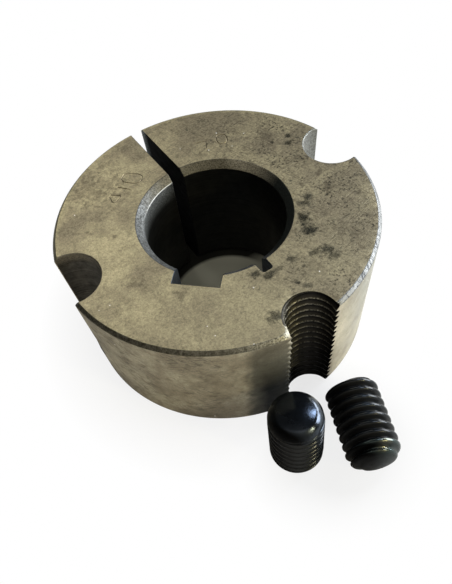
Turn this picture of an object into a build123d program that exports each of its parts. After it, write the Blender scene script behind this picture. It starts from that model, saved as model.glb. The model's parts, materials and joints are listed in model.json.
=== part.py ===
from build123d import *
import os
from math import acos, cos, degrees, radians, sin, tan

# A taper bush of the 41 mm (1.61 inch) bore class: a conical iron sleeve, sawn through on one side,
# that a hub squeezes onto a shaft, with the two socket set screws that draw it in or push it off.
# Millimetres. The origin is on the bore axis, on the small end face, and +Z runs up to the large end.
# Angles about +Z are in degrees from +X. The saw cut is at +Y, the threaded half-hole opposite it.

# ---- cone
large_end_dia = 57.15          # 2 1/4 inch, over the sharp corner
bush_length = 25.4             # 1 inch
taper_half_angle = 4.0         # 8 degrees included
large_end_chamfer = 0.6
small_end_chamfer = 0.4

# ---- bore, keyway, saw cut and relief notch
bore_dia = 25.0
bore_chamfer = 1.3
keyway_width = 8.0
keyway_depth = 3.3             # from the bore wall, at the middle of the key
keyway_angle = 225.6
saw_cut_width = 2.4
saw_cut_angle = 90.0
notch_width = 2.0
notch_depth = 3.45             # from the bore wall
notch_corner_radius = 0.45

# ---- thread of the screws and of the threaded half-hole
thread_dia = 9.525             # 3/8 inch
thread_pitch = 25.4 / 16
thread_clearance = 0.2         # the screws' crests are this much under the nominal size, on diameter

# ---- screw stations in the cone wall
station_inset = 3.17           # the stations' circle is this much inside the large end, on diameter
plain_hole_clearance = 1.075   # over the nominal thread, on diameter
plain_hole_angles = {"left": 173.8, "right": 2.0}
plain_hole_spare_depth = 2.5   # how far the hole goes past the length of a screw
plain_hole_edge_break = 0.25
drill_point_angle = 118.0
threaded_hole_angle = saw_cut_angle + 180.0
thread_mouth_chamfer = 0.9

# ---- set screws
screw_length = 14.5
socket_across_flats = 4.76     # 3/16 inch key
socket_depth = 5.5
socket_end_chamfer = 0.7
point_inset = 1.36             # the bearing disc on the point is this much inside the crests, on radius
point_dome = 0.5
point_round = 2.9              # radius that rounds the point from the disc to the crests

# ---- how the two screws stand and lie beside the bush
standing_angle = 255.9         # direction from the bore axis to the standing screw
standing_gap = 3.54            # from the bush's foot to the standing screw's side
between_screws = 2.06          # from side to side of the two screws
lying_direction = -112.0       # from the socket end to the point
lying_lead = 6.46              # how far the lying screw's socket end is set back towards the bush

large_end_radius = large_end_dia / 2
small_end_radius = large_end_radius - bush_length * tan(radians(taper_half_angle))
bore_radius = bore_dia / 2
station_radius = (large_end_dia - station_inset) / 2
plain_hole_radius = (thread_dia + plain_hole_clearance) / 2
plain_hole_depth = screw_length + plain_hole_spare_depth
tapped_radius = (thread_dia - thread_pitch) / 2
screw_radius = (thread_dia - thread_clearance) / 2
cut_over = 2.0                 # cutters run this far past the faces they leave


def polar(radius, angle, z=0.0):
    return (radius * cos(radians(angle)), radius * sin(radians(angle)), z)


def turned(points):
    """A solid of revolution about Z from (radius, z) corners."""
    face = Plane.XZ * make_face(Polyline(*points, close=True))
    return revolve(face, Axis.Z, 360)


def cone_radius(z):
    return small_end_radius + z * tan(radians(taper_half_angle))


def tapered_ring():
    top = bush_length
    return turned([
        (bore_radius + bore_chamfer, 0),
        (small_end_radius - small_end_chamfer, 0),
        (cone_radius(small_end_chamfer), small_end_chamfer),
        (cone_radius(top - large_end_chamfer), top - large_end_chamfer),
        (large_end_radius - large_end_chamfer, top),
        (bore_radius + bore_chamfer, top),
        (bore_radius, top - bore_chamfer),
        (bore_radius, bore_chamfer),
    ])


def radial_slot(width, reach, angle, corner_radius=0.0):
    """A slot cutter from the axis out to reach, along the whole bush."""
    height = bush_length + 2 * cut_over
    cutter = Box(reach, width, height, align=(Align.MIN, Align.CENTER, Align.MIN))
    if corner_radius:
        bottom_edges = cutter.edges().filter_by(Axis.Z).group_by(Axis.X)[-1]
        cutter = fillet(bottom_edges, corner_radius)
    return Location((0, 0, -cut_over), (0, 0, angle)) * cutter


def plain_hole_cutter(angle):
    radius = plain_hole_radius
    point = radius / tan(radians(drill_point_angle / 2))
    floor = bush_length - plain_hole_depth
    mouth = radius + plain_hole_edge_break + cut_over
    cutter = turned([
        (0, floor - point),
        (radius, floor),
        (radius, bush_length - plain_hole_edge_break),
        (mouth, bush_length + cut_over),
        (0, bush_length + cut_over),
    ])
    return Location(polar(station_radius, angle)) * cutter


def threaded_hole_cutter():
    radius = tapped_radius
    mouth = radius + thread_mouth_chamfer + cut_over
    cutter = turned([
        (0, -cut_over),
        (radius, -cut_over),
        (radius, bush_length - thread_mouth_chamfer),
        (mouth, bush_length + cut_over),
        (0, bush_length + cut_over),
    ])
    return Location(polar(station_radius, threaded_hole_angle)) * cutter


def make_bush():
    bush = tapered_ring()
    bush -= radial_slot(saw_cut_width, large_end_radius + cut_over, saw_cut_angle)
    bush -= radial_slot(keyway_width, bore_radius + keyway_depth, keyway_angle)
    bush -= radial_slot(notch_width, bore_radius + notch_depth, threaded_hole_angle, notch_corner_radius)
    for angle in plain_hole_angles.values():
        bush -= plain_hole_cutter(angle)
    bush -= threaded_hole_cutter()
    return bush


def dome_middle(point_radius):
    """The point half way along the dome's arc, in (radius, z)."""
    sphere = (point_radius ** 2 + point_dome ** 2) / (2 * point_dome)
    middle = point_radius / 2
    return (middle, screw_length - sphere + (sphere ** 2 - middle ** 2) ** 0.5)


def make_screw():
    """A set screw on the Z axis, socket end at z = 0 and point upward; the thread itself is left plain."""
    radius = screw_radius
    point_radius = radius - point_inset
    disc_z = screw_length - point_dome
    round_centre = radius - point_round
    turn = degrees(acos((point_radius - round_centre) / point_round))
    shoulder_z = disc_z - point_round * sin(radians(turn))
    dome = ThreePointArc((0, screw_length), dome_middle(point_radius), (point_radius, disc_z))
    shoulder = CenterArc((round_centre, shoulder_z), point_round, 0, turn)
    bevel = (radius, socket_end_chamfer), (radius - socket_end_chamfer, 0)
    side = Polyline((radius, shoulder_z), *bevel, (0, 0), (0, screw_length))
    screw = revolve(Plane.XZ * make_face(dome + shoulder + side), Axis.Z, 360)
    hexagon = RegularPolygon(socket_across_flats / 2, 6, major_radius=False)
    return screw - extrude(hexagon, socket_depth)


def standing_place():
    return Vector(*polar(small_end_radius + standing_gap + screw_radius, standing_angle))


def lying_place():
    """The lying screw's socket end, beside the standing screw and one crest radius off the ground."""
    along = Vector(*polar(1, lying_direction))
    across = Vector(*polar(1, lying_direction + 90))
    beside = 2 * screw_radius + between_screws
    return standing_place() + across * beside - along * lying_lead + Vector(0, 0, screw_radius)


def standing_screw():
    return Location(standing_place()) * make_screw()


def lying_screw():
    return Location(lying_place(), (0, 0, lying_direction)) * Rotation(0, 90, 0) * make_screw()


os.makedirs("parts", exist_ok=True)
nodes = {
    "tapered_bush": make_bush(),
    "set_screw_standing": standing_screw(),
    "set_screw_lying": lying_screw(),
}
for name, shape in nodes.items():
    export_step(shape, f"parts/{name}.step")
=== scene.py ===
import json
import math
import bpy
from mathutils import Matrix, Vector
from mathutils.geometry import delaunay_2d_cdt


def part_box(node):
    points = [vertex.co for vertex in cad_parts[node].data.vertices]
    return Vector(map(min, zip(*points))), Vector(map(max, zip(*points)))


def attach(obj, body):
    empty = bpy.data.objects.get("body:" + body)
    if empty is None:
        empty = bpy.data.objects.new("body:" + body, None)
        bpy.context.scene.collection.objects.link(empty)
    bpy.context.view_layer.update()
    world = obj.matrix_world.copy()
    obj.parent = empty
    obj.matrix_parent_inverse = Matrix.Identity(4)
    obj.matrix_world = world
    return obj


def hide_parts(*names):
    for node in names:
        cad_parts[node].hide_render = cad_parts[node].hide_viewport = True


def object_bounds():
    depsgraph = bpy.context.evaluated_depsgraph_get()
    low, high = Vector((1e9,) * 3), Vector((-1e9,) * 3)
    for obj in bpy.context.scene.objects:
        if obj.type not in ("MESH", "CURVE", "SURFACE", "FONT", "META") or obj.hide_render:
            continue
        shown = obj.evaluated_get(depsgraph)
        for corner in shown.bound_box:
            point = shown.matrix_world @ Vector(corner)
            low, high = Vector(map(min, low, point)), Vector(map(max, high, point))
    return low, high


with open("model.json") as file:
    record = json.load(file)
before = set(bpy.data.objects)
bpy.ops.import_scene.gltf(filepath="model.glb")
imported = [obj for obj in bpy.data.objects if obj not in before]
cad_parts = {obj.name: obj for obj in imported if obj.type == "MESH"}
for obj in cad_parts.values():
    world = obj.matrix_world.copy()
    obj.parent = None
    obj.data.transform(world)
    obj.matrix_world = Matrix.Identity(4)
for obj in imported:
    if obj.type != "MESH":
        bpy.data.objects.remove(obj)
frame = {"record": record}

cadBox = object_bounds()
mm = 0.001
mounts = {mount["name"]: mount for mount in frame["record"]["mounts"]}

# sizes in millimetres, angles in degrees about +Z from +X
bush = {
    "topRadius": mounts["tapered_seat"]["dims"]["r_mm"],
    "length": mounts["tapered_seat"]["dims"]["length_mm"],
    "taper": 4.0,
    "topChamfer": 0.6,
    "footChamfer": 0.4,
    "boreRadius": mounts["bore"]["dims"]["r_mm"],
    "boreChamfer": 1.3,
    "cutAngle": 90.0,
    "cutWidth": 2.4,
    "keyAngle": 225.6,
    "keyWidth": 8.0,
    "keyDepth": 3.3,
    "notchAngle": 270.0,
    "notchWidth": 2.0,
    "notchDepth": 3.45,
    "notchCorner": 0.7,
    "holeCircle": 26.99,
    "plainHoles": [173.8, 2.0],
    "plainRadius": mounts["plain_half_hole_left"]["dims"]["r_mm"],
    "plainDepth": mounts["plain_half_hole_left"]["dims"]["length_mm"],
    "plainMouth": 0.12,
    "drillPoint": 118.0,
    "threadAngle": 269.7,
    "tapRadius": 4.1,
    "threadMouth": 0.3,
    "pitch": 25.4 / 16,
    "threadDepth": 0.72,      # how deep the cut thread goes past the tapping size
    "rimEase": 0.09,          # radius on every turned or milled rim
    "cornerEase": 0.16,       # radius on every upright corner
    "threadWear": 0.95,
    "wearHeight": 3.2,        # how far down the worn corner of the threaded hole reaches
    "crestFlat": 0.14,        # share of the thread's rise that stays at the crest
    "flankShare": 0.74,
    "threadFoot": 0.05,
    "rimBlend": 0.12,         # how softly each chamfer meets its wall
    "boreBlend": 0.14,
    "holeBlend": 0.1,
    "threadBlend": 0.08,
    "capSpacing": 1.6,        # size of the triangles in the end faces, and their room to the rims
    "capMargin": 0.6,
    "capCrowding": 0.5,       # least squared distance between them and a rim
    # heights at which the walls have points: close to either end, and in between
    "edgeLevels": [0.0, 0.01, 0.03, 0.06, 0.09, 0.2, 0.32, 0.4, 0.5, 0.62, 0.8, 1.0, 1.2, 1.3, 1.42, 1.8],
    "wallLevels": [10.2, 12.4, 14.8, 17.2, 19.6, 21.8],
    "stepsPerPitch": 14,
}

screws = {
    "radius": 4.6625,
    "length": 14.5,
    "pitch": 25.4 / 16,
    "threadDepth": 0.95,
    "crestRound": 0.16,
    "discRadius": 3.3025,
    "dome": 0.5,
    "pointRound": 2.9,        # radius from the disc to the crests
    "tipGroove": 0.1,
    "threadFade": 0.55,       # how far the thread takes to reach its full depth
    "rootSharpness": 1.35,
    "endBlend": 0.12,
    "pitDepth": 0.9,          # the cone at the bottom of the socket
    "endChamfer": 0.7,
    "socketWidth": 4.76,
    "socketDepth": 5.5,
    "socketEdge": [(0.22, 0.0), (0.1, 0.08), (0.0, 0.24)],      # how much wider it is, at each depth
    "columns": 96,
    "stepsPerPitch": 16,
    "lyingDirection": -112.0,
}

# punched marks on the large end: centre, turn and outline size of each
marks = [
    {"kind": "oval", "at": (-7.0, 17.15), "turn": -47.0, "size": (1.9, 1.25)},
    {"kind": "bar", "at": (-9.45, 15.75), "turn": 38.0, "size": (1.25, 0)},
    {"kind": "triangle", "at": (-12.0, 14.6), "turn": 20.0, "size": (1.45, 1.45)},
    {"kind": "chevron", "at": (8.5, 16.6), "turn": 20.0, "size": (1.3, 0.8)},
    {"kind": "oval", "at": (11.9, 15.4), "turn": 70.0, "size": (1.3, 1.0)},
]
markWidth = 0.2
markDepth = 0.1


def softMin(a, b, width):
    gap = max(width - abs(a - b), 0.0) / width
    return min(a, b) - gap * gap * width / 4


def softMax(a, b, width):
    return -softMin(-a, -b, width)


def polar(radius, angle):
    return Vector((radius * math.cos(math.radians(angle)), radius * math.sin(math.radians(angle))))


def rimEasing(z):
    # how far a rim falls back as it turns into the end face
    ease = bush["rimEase"]
    near = min(z, bush["length"] - z)
    if near >= ease:
        return 0.0
    return ease - math.sqrt(max(ease * ease - (ease - near) ** 2, 0.0))


def outerRadius(z):
    top = bush["length"]
    slope = math.tan(math.radians(bush["taper"]))
    cone = bush["topRadius"] - (top - z) * slope
    topLine = bush["topRadius"] - bush["topChamfer"] + (top - z)
    footLine = bush["topRadius"] - top * slope - bush["footChamfer"] + z
    ends = softMin(cone, topLine, bush["rimBlend"])
    return softMin(ends, footLine, bush["rimBlend"]) - rimEasing(z)


def boreRadius(z):
    near = min(z, bush["length"] - z)
    chamfered = bush["boreRadius"] + bush["boreChamfer"] - near
    return softMax(bush["boreRadius"], chamfered, bush["boreBlend"]) + rimEasing(z)


def plainHoleRadius(z):
    # full size down to the floor, then the cone left by the drill's point
    floor = bush["length"] - bush["plainDepth"]
    if z < floor:
        slope = math.tan(math.radians(90 - bush["drillPoint"] / 2))
        return max(bush["plainRadius"] - (floor - z) / slope, 0.0)
    mouth = bush["plainRadius"] + bush["plainMouth"] - (bush["length"] - z)
    return softMax(bush["plainRadius"], mouth, bush["holeBlend"]) + rimEasing(z)


def threadWave(phase):
    # 0 at the crest left by the tapping drill, 1 at the root
    part = phase % 1.0
    rise = 1 - abs(2 * part - 1)
    return min(max((rise - bush["crestFlat"]) / bush["flankShare"], 0.0), 1.0)


def threadedHoleRadius(z, side):
    # side is the angle round the hole from its deepest point, in radians
    cut = bush["tapRadius"] + bush["threadDepth"] * threadWave(z / bush["pitch"] - side / (2 * math.pi))
    mouth = bush["tapRadius"] + bush["threadMouth"] - (bush["length"] - z)
    foot = bush["tapRadius"] + bush["threadFoot"] - z
    return softMax(max(cut, foot), mouth, bush["threadBlend"]) + rimEasing(z)


def onCircle(radius, fromAngle, toAngle):
    def place(t):
        return polar(radius, fromAngle + (toAngle - fromAngle) * t)
    return place, radius * abs(math.radians(toAngle - fromAngle))


def onLine(start, end):
    def place(t):
        return start.lerp(end, t)
    return place, (end - start).length


def halfHole(angle, outer, radiusAt):
    # the arc of a half-hole from one outside corner round the inside to the other
    centre = bush["holeCircle"]
    out = polar(1, angle)
    along = polar(1, angle + 90)
    swing = math.pi / 2
    reach = 0.0
    for _ in range(8):
        radius = radiusAt(swing)
        cosine = (outer * outer + centre * centre - radius * radius) / (2 * outer * centre)
        reach = math.acos(min(max(cosine, -1.0), 1.0))
        swing = math.atan2(outer * math.sin(reach), centre - outer * math.cos(reach))
    if reach < 1e-4:
        return None, None, 0.0, 0.0

    def place(t, lowSwing=-1.0, highSwing=1.0):
        side = swing * (lowSwing + (highSwing - lowSwing) * t)
        radius = radiusAt(side)
        return out * (centre - radius * math.cos(side)) + along * (radius * math.sin(side))
    return place, 2 * swing * radiusAt(0.0), math.degrees(reach), swing


def slotCorners(width, radius, angle):
    # where a slot of this width meets a circle round the bore axis: its two corners
    out = polar(1, angle)
    along = polar(1, angle + 90)
    half = width / 2
    depth = math.sqrt(radius * radius - half * half)
    return out * depth + along * half, out * depth - along * half, math.degrees(math.asin(half / radius))


def outline(z):
    # one closed loop round the iron at height z: a list of (zone, number of points, place, length)
    outer = outerRadius(z)
    bore = boreRadius(z)
    ease = rimEasing(z)
    cut = bush["cutWidth"] + 2 * ease
    outHigh, outLow, outSpan = slotCorners(cut, outer, bush["cutAngle"])
    boreHigh, boreLow, boreSpan = slotCorners(cut, bore, bush["cutAngle"])
    left = halfHole(bush["plainHoles"][0], outer, lambda side: plainHoleRadius(z))
    right = halfHole(bush["plainHoles"][1], outer, lambda side: plainHoleRadius(z))
    thread = halfHole(bush["threadAngle"], outer, lambda side: threadedHoleRadius(z, side))
    start = bush["cutAngle"] + outSpan
    leftAngle = bush["plainHoles"][0]
    rightAngle = bush["plainHoles"][1] + 360
    threadAngle = bush["threadAngle"]
    parts = [
        ("taper", 64, *onCircle(outer, start, leftAngle - left[2])),
        ("plainHole", 44, left[0], left[1]),
        ("taper", 72, *onCircle(outer, leftAngle + left[2], threadAngle - thread[2])),
        ("thread", 84, thread[0], thread[1]),
        ("taper", 68, *onCircle(outer, threadAngle + thread[2], rightAngle - right[2])),
        ("plainHole", 44, right[0], right[1]),
        ("taper", 64, *onCircle(outer, rightAngle + right[2], bush["cutAngle"] + 360 - outSpan)),
        ("sawn", 10, *onLine(outLow, boreLow)),
    ]
    notchAngle = bush["notchAngle"] - 360
    keyAngle = bush["keyAngle"] - 360
    slots = [
        (notchAngle, bush["notchWidth"] + 2 * ease, bush["boreRadius"] + bush["notchDepth"] + ease, 3, 96),
        (keyAngle, bush["keyWidth"] + 2 * ease, bush["boreRadius"] + bush["keyDepth"] + ease, 6, 16),
    ]
    angle = bush["cutAngle"] - boreSpan
    for slotAngle, width, reach, across, pointsBefore in slots:
        high, low, span = slotCorners(width, bore, slotAngle)
        out = polar(1, slotAngle)
        along = polar(1, slotAngle + 90)
        floorHigh = out * reach + along * (width / 2)
        floorLow = out * reach - along * (width / 2)
        parts.append(("bore", pointsBefore, *onCircle(bore, angle, slotAngle + span)))
        parts.append(("slot", 4, *onLine(high, floorHigh)))
        parts.append(("slot", across, *onLine(floorHigh, floorLow)))
        parts.append(("slot", 4, *onLine(floorLow, low)))
        angle = slotAngle - span
    parts.append(("bore", 70, *onCircle(bore, angle, bush["cutAngle"] - 360 + boreSpan)))
    parts.append(("sawn", 10, *onLine(boreHigh, outHigh)))
    return parts


def cornerSize(index, z):
    # the notch has round inside corners, one side of the threaded hole is worn away towards
    # the top, and every other corner is only broken
    if index in (9, 10):
        return bush["notchCorner"]
    if index == 2:
        worn = bush["wearHeight"]
        mouth = min(max((z - bush["length"] + worn) / worn, 0.0), 1.0)
        return bush["threadWear"] * (0.35 + 0.3 * z / bush["length"] + mouth * mouth)
    return bush["cornerEase"]


def loopPoints(z):
    # the outline as points, with a small curve across every corner, and the zone of each point
    parts = outline(z)
    count = len(parts)
    closed = {}
    for index, angle in ((1, bush["plainHoles"][0]), (5, bush["plainHoles"][1])):
        if parts[index][2] is None:
            closed[index] = polar(outerRadius(z), angle)
    rows = []
    for index, (_, points, place, length) in enumerate(parts):
        after = (index + 1) % count
        if index in closed:
            rows.append([closed[index]] * points)
            continue
        first = 0.0 if index - 1 in closed else min(cornerSize(index - 1, z), length * 0.3) / length
        last = 1.0 if after in closed else 1 - min(cornerSize(index, z), length * 0.3) / length
        row = [place(first + (last - first) * step / (points - 1)) for step in range(points)]
        if index - 1 in closed:
            row[0] = closed[index - 1]
        if after in closed:
            row[-1] = closed[after]
        rows.append(row)
    loop = []
    zones = []
    for index, row in enumerate(rows):
        after = (index + 1) % count
        start, finish = row[-1], rows[after][0]
        corner = start if index in closed or after in closed else parts[index][2](1.0)
        loop += row
        for t in (0.25, 0.5, 0.75):
            bent = start * (1 - t) ** 2 + corner * 2 * t * (1 - t) + finish * t * t
            loop.append(start if start is finish or start == finish else bent)
        zones += [parts[index][0]] * (len(row) + 3)
    return loop, zones


def coarseHeights():
    top = bush["length"]
    floor = top - bush["plainDepth"]
    tip = floor - bush["plainRadius"] * math.tan(math.radians(90 - bush["drillPoint"] / 2))
    near = bush["edgeLevels"]
    heights = near + [top - step for step in near]
    heights += [tip + (floor - tip) * step / 10 for step in range(11)]
    heights += [floor + 0.15] + bush["wallLevels"]
    heights = sorted(set(round(height, 4) for height in heights if height <= top))
    kept = [heights[0]]
    for height in heights[1:]:
        if height - kept[-1] > 0.005:
            kept.append(height)
    kept[-1] = top
    return kept


def fineHeights(coarse):
    step = bush["pitch"] / bush["stepsPerPitch"]
    heights = [step * index for index in range(1, int(bush["length"] / step))]
    ends = [height for height in coarse if height < 0.1 or height > bush["length"] - 0.1]
    heights = [height for height in heights if 0.12 < height < bush["length"] - 0.12]
    return sorted(heights + ends)


class MeshSheet:
    # collects points and faces, and joins points that share a place

    def __init__(self):
        self.points = []
        self.faces = []
        self.materials = []
        self.values = []
        self.known = {}

    def point(self, place, value=0.0):
        key = (round(place[0], 5), round(place[1], 5), round(place[2], 5))
        if key not in self.known:
            self.known[key] = len(self.points)
            self.points.append(Vector(place) * mm)
            self.values.append(value)
        return self.known[key]

    def face(self, corners, material=0):
        ring = []
        for corner in corners:
            if not ring or ring[-1] != corner:
                ring.append(corner)
        if len(ring) > 1 and ring[0] == ring[-1]:
            ring.pop()
        if len(set(ring)) >= 3:
            self.faces.append(ring)
            self.materials.append(material)

    def build(self, name, materials, sharpAngle, valueName=None):
        mesh = bpy.data.meshes.new(name)
        mesh.from_pydata(self.points, [], self.faces)
        mesh.polygons.foreach_set("material_index", self.materials)
        mesh.polygons.foreach_set("use_smooth", [True] * len(self.faces))
        for material in materials:
            mesh.materials.append(material)
        if valueName:
            layer = mesh.attributes.new(valueName, "FLOAT", "POINT")
            layer.data.foreach_set("value", self.values)
        mesh.validate()
        mesh.update()
        mesh.set_sharp_from_angle(angle=math.radians(sharpAngle))
        piece = bpy.data.objects.new(name, mesh)
        bpy.context.scene.collection.objects.link(piece)
        return piece


def stripBetween(sheet, left, right, materialAt):
    # joins two upright columns that have different numbers of points
    i = 0
    j = 0
    while i < len(left) - 1 or j < len(right) - 1:
        leftNext = left[i + 1][0] if i < len(left) - 1 else math.inf
        rightNext = right[j + 1][0] if j < len(right) - 1 else math.inf
        if leftNext <= rightNext:
            middle = (max(left[i][0], right[j][0]) + leftNext) / 2
            sheet.face([left[i][1], right[j][1], left[i + 1][1]], materialAt(middle))
            i += 1
        else:
            middle = (max(left[i][0], right[j][0]) + rightNext) / 2
            sheet.face([left[i][1], right[j][1], right[j + 1][1]], materialAt(middle))
            j += 1


def markOutline(mark):
    # the middle line of a punched mark, and whether it closes on itself
    long, short = mark["size"]
    if mark["kind"] == "oval":
        line = []
        for step in range(28):
            turn = 2 * math.pi * step / 28
            squash = (abs(math.cos(turn)) ** 3 + abs(math.sin(turn)) ** 3) ** (-1 / 3)
            line.append(Vector((long * squash * math.cos(turn), short * squash * math.sin(turn))))
        closed = True
    elif mark["kind"] == "triangle":
        corners = [polar(long, 90), polar(long, 210), polar(long, 330)]
        line = []
        for index in range(3):
            start, end = corners[index], corners[(index + 1) % 3]
            line += [start.lerp(end, 0.17 + 0.66 * step / 5) for step in range(6)]
        closed = True
    elif mark["kind"] == "chevron":
        line = [Vector((-short, long)), Vector((0, long / 2)), Vector((short, 0)), Vector((0, -long / 2)),
                Vector((-short, -long))]
        closed = False
    else:
        line = [Vector((0, -long + long * step / 2)) for step in range(5)]
        closed = False
    turned = Matrix.Rotation(math.radians(mark["turn"]), 2)
    return [turned @ point + Vector(mark["at"]) for point in line], closed


def offsetLine(line, closed, distance):
    moved = []
    last = len(line) - 1
    for index, point in enumerate(line):
        before = line[index - 1] if closed or index > 0 else point
        after = line[(index + 1) % len(line)] if closed or index < last else point
        direction = (after - before).normalized()
        moved.append(point + Vector((-direction.y, direction.x)) * distance)
    return moved


def punchMark(sheet, mark, top, material):
    # digs one mark and returns the loops where it opens in the face
    line, closed = markOutline(mark)
    half = markWidth / 2
    rows = []
    for distance, depth in ((half, 0.0), (half * 0.35, markDepth), (-half * 0.35, markDepth), (-half, 0.0)):
        rows.append([(point, top - depth) for point in offsetLine(line, closed, distance)])
    if not closed:
        startTip = line[0] + (line[0] - line[1]).normalized() * half
        endTip = line[-1] + (line[-1] - line[-2]).normalized() * half
        for row in rows:
            row.insert(0, (startTip, top))
            row.append((endTip, top))
    index = [[sheet.point((*point, z)) for point, z in row] for row in rows]
    count = len(index[0])
    for row in range(3):
        for step in range(count if closed else count - 1):
            after = (step + 1) % count
            sheet.face([index[row][step], index[row][after], index[row + 1][after], index[row + 1][step]],
                       material)
    outside = [point for point, _ in rows[0]]
    inside = [point for point, _ in rows[3]]
    if closed:
        return [outside, inside]
    return [outside + inside[-2:0:-1]]


def insideLoop(point, loop):
    inside = False
    x, y = point
    for index, a in enumerate(loop):
        b = loop[index - 1]
        if (a.y > y) != (b.y > y) and x < (b.x - a.x) * (y - a.y) / (b.y - a.y) + a.x:
            inside = not inside
    return inside


def capFace(sheet, loop, z, upward, material, markLoops=()):
    # fills an end face with even triangles, round any punched marks
    points = list(loop)
    edges = [(index, (index + 1) % len(loop)) for index in range(len(loop))]
    for markLoop in markLoops:
        base = len(points)
        points += markLoop
        edges += [(base + index, base + (index + 1) % len(markLoop)) for index in range(len(markLoop))]
    spacing = bush["capSpacing"]
    margin = bush["capMargin"]
    reach = int(bush["topRadius"] / spacing) + 1
    rowHeight = spacing * math.sqrt(3) / 2
    borders = list(points)
    for row in range(-reach - 4, reach + 5):
        for column in range(-reach, reach + 1):
            spot = Vector((spacing * (column + 0.5 * (row % 2)), rowHeight * row))
            if boreRadius(z) + margin < spot.length < outerRadius(z) - margin:
                if min((spot - border).length_squared for border in borders) > bush["capCrowding"]:
                    points.append(spot)
    flat, _, triangles, *_ = delaunay_2d_cdt(points, edges, [], 0, 1e-6)
    keep = []
    for triangle in triangles:
        centre = sum((flat[corner] for corner in triangle), Vector((0, 0))) / 3
        crossings = insideLoop(centre, loop)
        for markLoop in markLoops:
            crossings = crossings != insideLoop(centre, markLoop)
        if crossings:
            keep.append(triangle)
    for triangle in keep:
        corners = [sheet.point((*flat[corner], z)) for corner in triangle]
        a, b, c = (flat[corner] for corner in triangle)
        if ((b - a).cross(c - a) > 0) != upward:
            corners.reverse()
        sheet.face(corners, material)


def makeBush(materials):
    names = list(materials)
    slotOf = {name: index for index, name in enumerate(names)}
    sheet = MeshSheet()
    heights = coarseHeights()
    fine = fineHeights(heights)
    loops = {}
    for z in sorted(set(heights + fine)):
        loops[z], zones = loopPoints(z)
    count = len(zones)
    threadColumns = [index for index, zone in enumerate(zones) if zone == "thread"]
    firstFine = threadColumns[0] - 5
    lastFine = threadColumns[-1] + 3
    top = bush["length"]

    def column(index, levels):
        return [(z, sheet.point((*loops[z][index], z))) for z in levels]

    def slotAt(zone, z):
        edge = top - z
        if zone == "taper" and (edge < bush["topChamfer"] or z < bush["footChamfer"]):
            return slotOf["rim"]
        if zone == "bore" and min(edge, z) < bush["boreChamfer"]:
            return slotOf["boreRim"]
        return slotOf[zone]

    for index in range(count):
        after = (index + 1) % count
        zone = zones[index]
        fineHere = firstFine <= index <= lastFine
        fineNext = firstFine <= after <= lastFine
        if fineHere != fineNext:
            levels = (fine, heights) if fineHere else (heights, fine)
            left, right = column(index, levels[0]), column(after, levels[1])
            stripBetween(sheet, left, right, lambda z: slotAt(zone, z))
            continue
        levels = fine if fineHere else heights
        left, right = column(index, levels), column(after, levels)
        for level in range(len(levels) - 1):
            middle = (levels[level] + levels[level + 1]) / 2
            ring = [left[level][1], right[level][1], right[level + 1][1], left[level + 1][1]]
            sheet.face(ring, slotAt(zone, middle))
    markLoops = []
    for mark in marks:
        markLoops += punchMark(sheet, mark, top, slotOf["face"])
    capFace(sheet, loops[top], top, True, slotOf["face"], markLoops)
    capFace(sheet, loops[heights[0]], 0.0, False, slotOf["face"])
    piece = sheet.build("taper_bush_iron", [materials[name] for name in names], 38)
    weighted = piece.modifiers.new("even normals", "WEIGHTED_NORMAL")
    weighted.keep_sharp = True
    return piece


def shoulderLength():
    centre = screws["radius"] - screws["pointRound"]
    turn = math.acos((screws["discRadius"] - centre) / screws["pointRound"])
    return screws["pointRound"] * math.sin(turn)


def screwOutline(along):
    # radius of the bare screw at a distance from the point's tip
    shoulderEnd = screws["dome"] + shoulderLength()
    if along < screws["dome"]:
        return screws["discRadius"] * math.sqrt(along / screws["dome"])
    if along < shoulderEnd:
        rise = shoulderEnd - along
        centre = screws["radius"] - screws["pointRound"]
        return centre + math.sqrt(screws["pointRound"] ** 2 - rise * rise)
    fromEnd = screws["length"] - along
    return softMin(screws["radius"], screws["radius"] - screws["endChamfer"] + fromEnd, screws["endBlend"])


def screwRadius(along, turn, start, phase):
    # the bare outline with the thread cut into it, fading in behind the point
    part = (along / screws["pitch"] - turn / (2 * math.pi) + phase) % 1.0
    wave = 0.5 - 0.5 * math.cos(2 * math.pi * part)
    wave = wave ** screws["rootSharpness"]
    fade = min(max((along - start) / screws["threadFade"], 0.0), 1.0)
    fade = fade * fade * (3 - 2 * fade)
    bare = screwOutline(along)
    cut = min(screws["radius"], bare + screws["tipGroove"]) - screws["threadDepth"] * wave
    return bare + (softMin(bare, cut, screws["crestRound"]) - bare) * fade


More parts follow.
